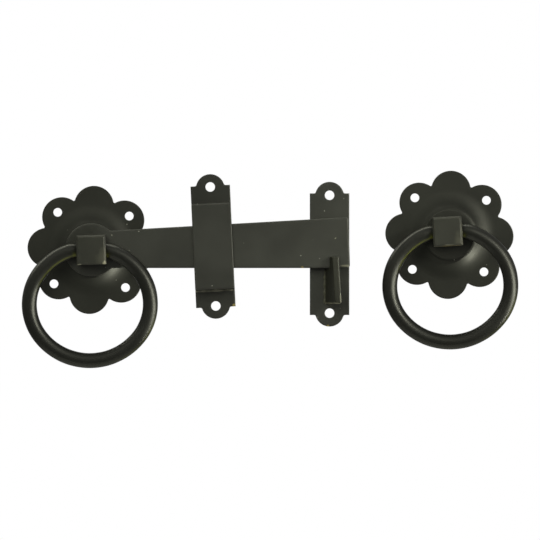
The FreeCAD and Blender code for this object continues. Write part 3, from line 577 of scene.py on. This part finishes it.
class GATELATCH_OT_lugs(bpy.types.Operator):
    """Coat the lugs and the spindle"""
    bl_idname = "gate_latch.lugs"
    bl_label = "Coat the lugs"

    def execute(self, context):
        colours = context.scene.latch_colours
        # The rear lug: rust by its ring's hole, a painted sheen on its face, a painted highlight down its
        # right edge, a painted glint at its lower right corner and a scuff at its lower left corner; then the
        # front lug: rust by its hole, a painted sheen on its face, a painted highlight down its right edge
        # and two pale lines along its lower edge
        marks = [
            ((9.4, -22.0, -5.5), (2.2, 2.2, 2.2), 0.0, colours.rust),
            ((9.4, -29.9, -9.4), (8.0, 3.0, 14.0), 0.0, colours.rubbed),
            ((9.2, -29.4, -3.0), (1.0, 2.0, 10.0), 1.6, colours.worn),
            ((8.9, -29.5, -8.9), (2.4, 2.0, 3.2), 0.0, colours.bare),
            ((-7.4, -29.2, -9.5), (1.8, 1.5, 0.9), 0.0, colours.scuff),
            ((234.4, -24.0, 9.5), (2.6, 2.6, 2.6), 0.0, colours.rust),
            ((234.9, -29.4, 2.9), (8.0, 3.0, 13.0), 0.0, colours.rubbed),
            ((234.2, -28.9, 9.5), (0.9, 2.0, 10.0), 3.3, colours.worn),
            ((226.5, -29.3, 3.2), (6.0, 1.0, 0.6), 3.3, colours.worn),
            ((226.5, -28.6, 2.1), (12.0, 2.0, 0.9), 3.3, colours.nick),
        ]
        material = black_coating("Black coating on machined block", colours.block, roughness=0.36,
                                 marks=marks)
        for node in ("rear_lug", "front_lug", "spindle"):
            coat(NODES[node], material)
        return {"FINISHED"}


class GATELATCH_OT_weld(bpy.types.Operator):
    """Lay the weld at the hook's foot and coat it"""
    bl_idname = "gate_latch.weld"
    bl_label = "Lay the weld"

    def execute(self, context):
        bead = lay_weld("hook_weld", context.scene.latch_weld)
        coat(bead, black_coating("Black coating on weld", context.scene.latch_colours.weld, roughness=0.30))
        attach(bead, "backplates")
        return {"FINISHED"}


def soft_box(name, width, length, power):
    """A flat lamp of so many metres and watts."""
    light = bpy.data.lights.new(name, "AREA")
    light.shape = "RECTANGLE"
    light.size = width
    light.size_y = length
    light.energy = power
    return light


def spot(name, beam, radius, power):
    """A spot with a beam of so many degrees that fades out to its rim."""
    light = bpy.data.lights.new(name, "SPOT")
    light.spot_size = math.radians(beam)
    light.spot_blend = 1.0
    light.shadow_soft_size = radius
    light.energy = power
    return light


def hang(light, direction, distance, target=FRAME_CENTRE, along=(0, 0, 1), diffuse=True, gloss=True):
    """Hang a lamp this way and this far from its target, turned to it, with its length along a line."""
    light.color = LAMP_TINT
    obj = bpy.data.objects.new(light.name, light)
    obj.visible_diffuse = diffuse
    obj.visible_glossy = gloss
    back = Vector(direction).normalized()
    side = Vector(along).cross(back).normalized()
    obj.location = Vector(target) + distance * back
    obj.rotation_euler = Matrix((side, back.cross(side), back)).transposed().to_euler()
    obj.visible_camera = False
    bpy.context.scene.collection.objects.link(obj)


class GATELATCH_OT_stage(bpy.types.Operator):
    """Lay the floor, hang the lamps and stand the camera in front of the gate's face"""
    bl_idname = "gate_latch.stage"
    bl_label = "Set up the studio"

    def execute(self, context):
        scene = context.scene
        scene.view_settings.view_transform = "Standard"
        self.lay_floor(scene)
        self.paint_world(scene)
        self.hang_lamps()
        self.stand_camera(scene)
        return {"FINISHED"}

    def lay_floor(self, scene):
        """A plain pale floor, well below the latch, which is held by its mount."""
        mesh = bpy.data.meshes.new("Floor")
        corners = [(-FLOOR_HALF, -FLOOR_HALF, FLOOR_LEVEL), (FLOOR_HALF, -FLOOR_HALF, FLOOR_LEVEL),
                   (FLOOR_HALF, FLOOR_HALF, FLOOR_LEVEL), (-FLOOR_HALF, FLOOR_HALF, FLOOR_LEVEL)]
        mesh.from_pydata(corners, [], [(0, 1, 2, 3)])
        floor = bpy.data.objects.new("Floor", mesh)
        scene.collection.objects.link(floor)
        # Painted board: matt, with faint wide clouds
        material = bpy.data.materials.new("Pale studio floor")
        material.use_nodes = True
        tree = material.node_tree
        tree.nodes.clear()
        place = add(tree, "ShaderNodeTexCoord").outputs["Object"]
        clouds = add(tree, "ShaderNodeTexNoise", {"Vector": place, "Scale": per_size(FLOOR_PATCH)})
        darker, paler = FLOOR_COLOURS
        tint = add(tree, "ShaderNodeMixRGB", {
            "Fac": clouds.outputs["Fac"], "Color1": linear(darker), "Color2": linear(paler),
        })
        shader = add(tree, "ShaderNodeBsdfPrincipled", {"Base Color": tint.outputs[0], "Roughness": 0.8})
        add(tree, "ShaderNodeOutputMaterial", {"Surface": shader.outputs[0]})
        coat(floor, material)

    def paint_world(self, scene):
        """White behind the latch and to the camera, and a dim room round it, brighter above than below."""
        world = bpy.data.worlds.new("Studio")
        scene.world = world
        world.use_nodes = True
        tree = world.node_tree
        tree.nodes.clear()
        direction = add(tree, "ShaderNodeTexCoord").outputs["Generated"]
        parts = add(tree, "ShaderNodeSeparateXYZ", {0: direction})
        behind = add(tree, "ShaderNodeMapRange", {
            "Value": parts.outputs["Y"], "From Min": BACKDROP_RIM, "From Max": BACKDROP_FULL,
        })
        ray = add(tree, "ShaderNodeLightPath")
        glossy = add(tree, "ShaderNodeMath", {0: ray.outputs["Is Glossy Ray"], 1: behind.outputs[0]},
                     operation="MULTIPLY")
        seen = add(tree, "ShaderNodeMath", {
            0: ray.outputs["Is Camera Ray"], 1: ray.outputs["Is Transmission Ray"],
        }, operation="MAXIMUM")
        white = add(tree, "ShaderNodeMath", {0: seen.outputs[0], 1: glossy.outputs[0]}, operation="MAXIMUM")
        height = add(tree, "ShaderNodeMapRange", {
            "Value": parts.outputs["Z"], "From Min": -ROOM_HEIGHT, "From Max": ROOM_HEIGHT,
        })
        room = add(tree, "ShaderNodeMixRGB", {
            "Fac": height.outputs[0], "Color1": ROOM_BELOW, "Color2": ROOM_ABOVE,
        })
        shown = add(tree, "ShaderNodeMixRGB", {
            "Fac": white.outputs[0], "Color1": room.outputs[0], "Color2": WHITE,
        })
        background = add(tree, "ShaderNodeBackground", {"Color": shown.outputs[0], "Strength": 1.0})
        add(tree, "ShaderNodeOutputWorld", {"Surface": background.outputs[0]})

    def hang_lamps(self):
        """Strips and dim boxes for the gloss, fills for the plain light, and small spots for the glints."""
        hang(soft_box("Key strip", width=0.55, length=1.62, power=22.5), direction=(0.84, -0.54, 0.0),
             distance=1.4, along=(0.43, 0.64, -0.64), diffuse=False)
        hang(soft_box("Front fill", width=1.6, length=1.6, power=35.0), direction=(-0.25, -0.88, 0.40),
             distance=2.3, gloss=False)
        hang(soft_box("Top strip", width=2.2, length=0.3, power=10.0), direction=(-0.35, 0.26, 0.90),
             distance=1.4, along=(0, 1, 0), diffuse=False)
        hang(soft_box("Upper right glow", width=1.2, length=0.9, power=2.4), direction=(0.42, -0.73, 0.54),
             distance=1.8, diffuse=False)
        hang(soft_box("Upper left glow", width=1.2, length=0.9, power=0.8), direction=(-0.38, -0.72, 0.58),
             distance=1.8, diffuse=False)
        hang(soft_box("Back fill", width=1.0, length=1.0, power=45.0), direction=(-0.06, 0.89, 0.45),
             distance=1.8, gloss=False)
        from_low_right = (0.738, -0.208, -0.642)
        hang(spot("Rear dome spot", beam=1.9, radius=0.01, power=80.0), direction=from_low_right,
             distance=1.2, target=(0.0145, -0.005, -0.0146))
        hang(spot("Front dome spot", beam=1.9, radius=0.01, power=80.0), direction=from_low_right,
             distance=1.2, target=(0.2395, -0.005, -0.0035))
        hang(spot("Tip spot", beam=6.0, radius=0.02, power=18.0), direction=(0.72, -0.62, 0.31),
             distance=1.0, target=(0.150, -0.01, 0.004))

    def stand_camera(self, scene):
        """A long lens far off, which shows the latch almost without perspective."""
        camera = bpy.data.cameras.new("Camera")
        camera.sensor_width = SENSOR
        camera.lens = SENSOR * CAMERA_DISTANCE / FRAME_WIDTH
        camera.clip_end = CLIP_DISTANCE
        stand = bpy.data.objects.new("Camera", camera)
        stand.location = FRAME_CENTRE + Vector((0, -CAMERA_DISTANCE, 0))
        stand.rotation_euler = (math.pi / 2, 0, 0)
        scene.collection.objects.link(stand)
        scene.camera = stand


class GATELATCH_PT_panel(bpy.types.Panel):
    """Sizes, colours and steps of the ring gate latch"""
    bl_idname = "GATELATCH_PT_panel"
    bl_label = "Ring Gate Latch"
    bl_space_type = "VIEW_3D"
    bl_region_type = "UI"
    bl_category = "Gate Latch"

    def draw(self, context):
        for group in (context.scene.latch_ring, context.scene.latch_weld, context.scene.latch_colours):
            box = self.layout.box()
            for name in group.__annotations__:
                box.prop(group, name)
        for operator in OPERATORS:
            self.layout.operator(operator.bl_idname)


OPERATORS = (
    GATELATCH_OT_rings, GATELATCH_OT_roses, GATELATCH_OT_strips, GATELATCH_OT_lugs, GATELATCH_OT_weld,
    GATELATCH_OT_stage,
)
CLASSES = (RingSizes, WeldSizes, CoatingColours, *OPERATORS, GATELATCH_PT_panel)


def register():
    for cls in CLASSES:
        bpy.utils.register_class(cls)
    bpy.types.Scene.latch_ring = PointerProperty(type=RingSizes)
    bpy.types.Scene.latch_weld = PointerProperty(type=WeldSizes)
    bpy.types.Scene.latch_colours = PointerProperty(type=CoatingColours)


def unregister():
    del bpy.types.Scene.latch_colours
    del bpy.types.Scene.latch_weld
    del bpy.types.Scene.latch_ring
    for cls in reversed(CLASSES):
        bpy.utils.unregister_class(cls)


def main():
    register()
    bpy.ops.gate_latch.rings()
    bpy.ops.gate_latch.roses()
    bpy.ops.gate_latch.strips()
    bpy.ops.gate_latch.lugs()
    bpy.ops.gate_latch.weld()
    bpy.ops.gate_latch.stage()


if __name__ == "__main__":
    main()
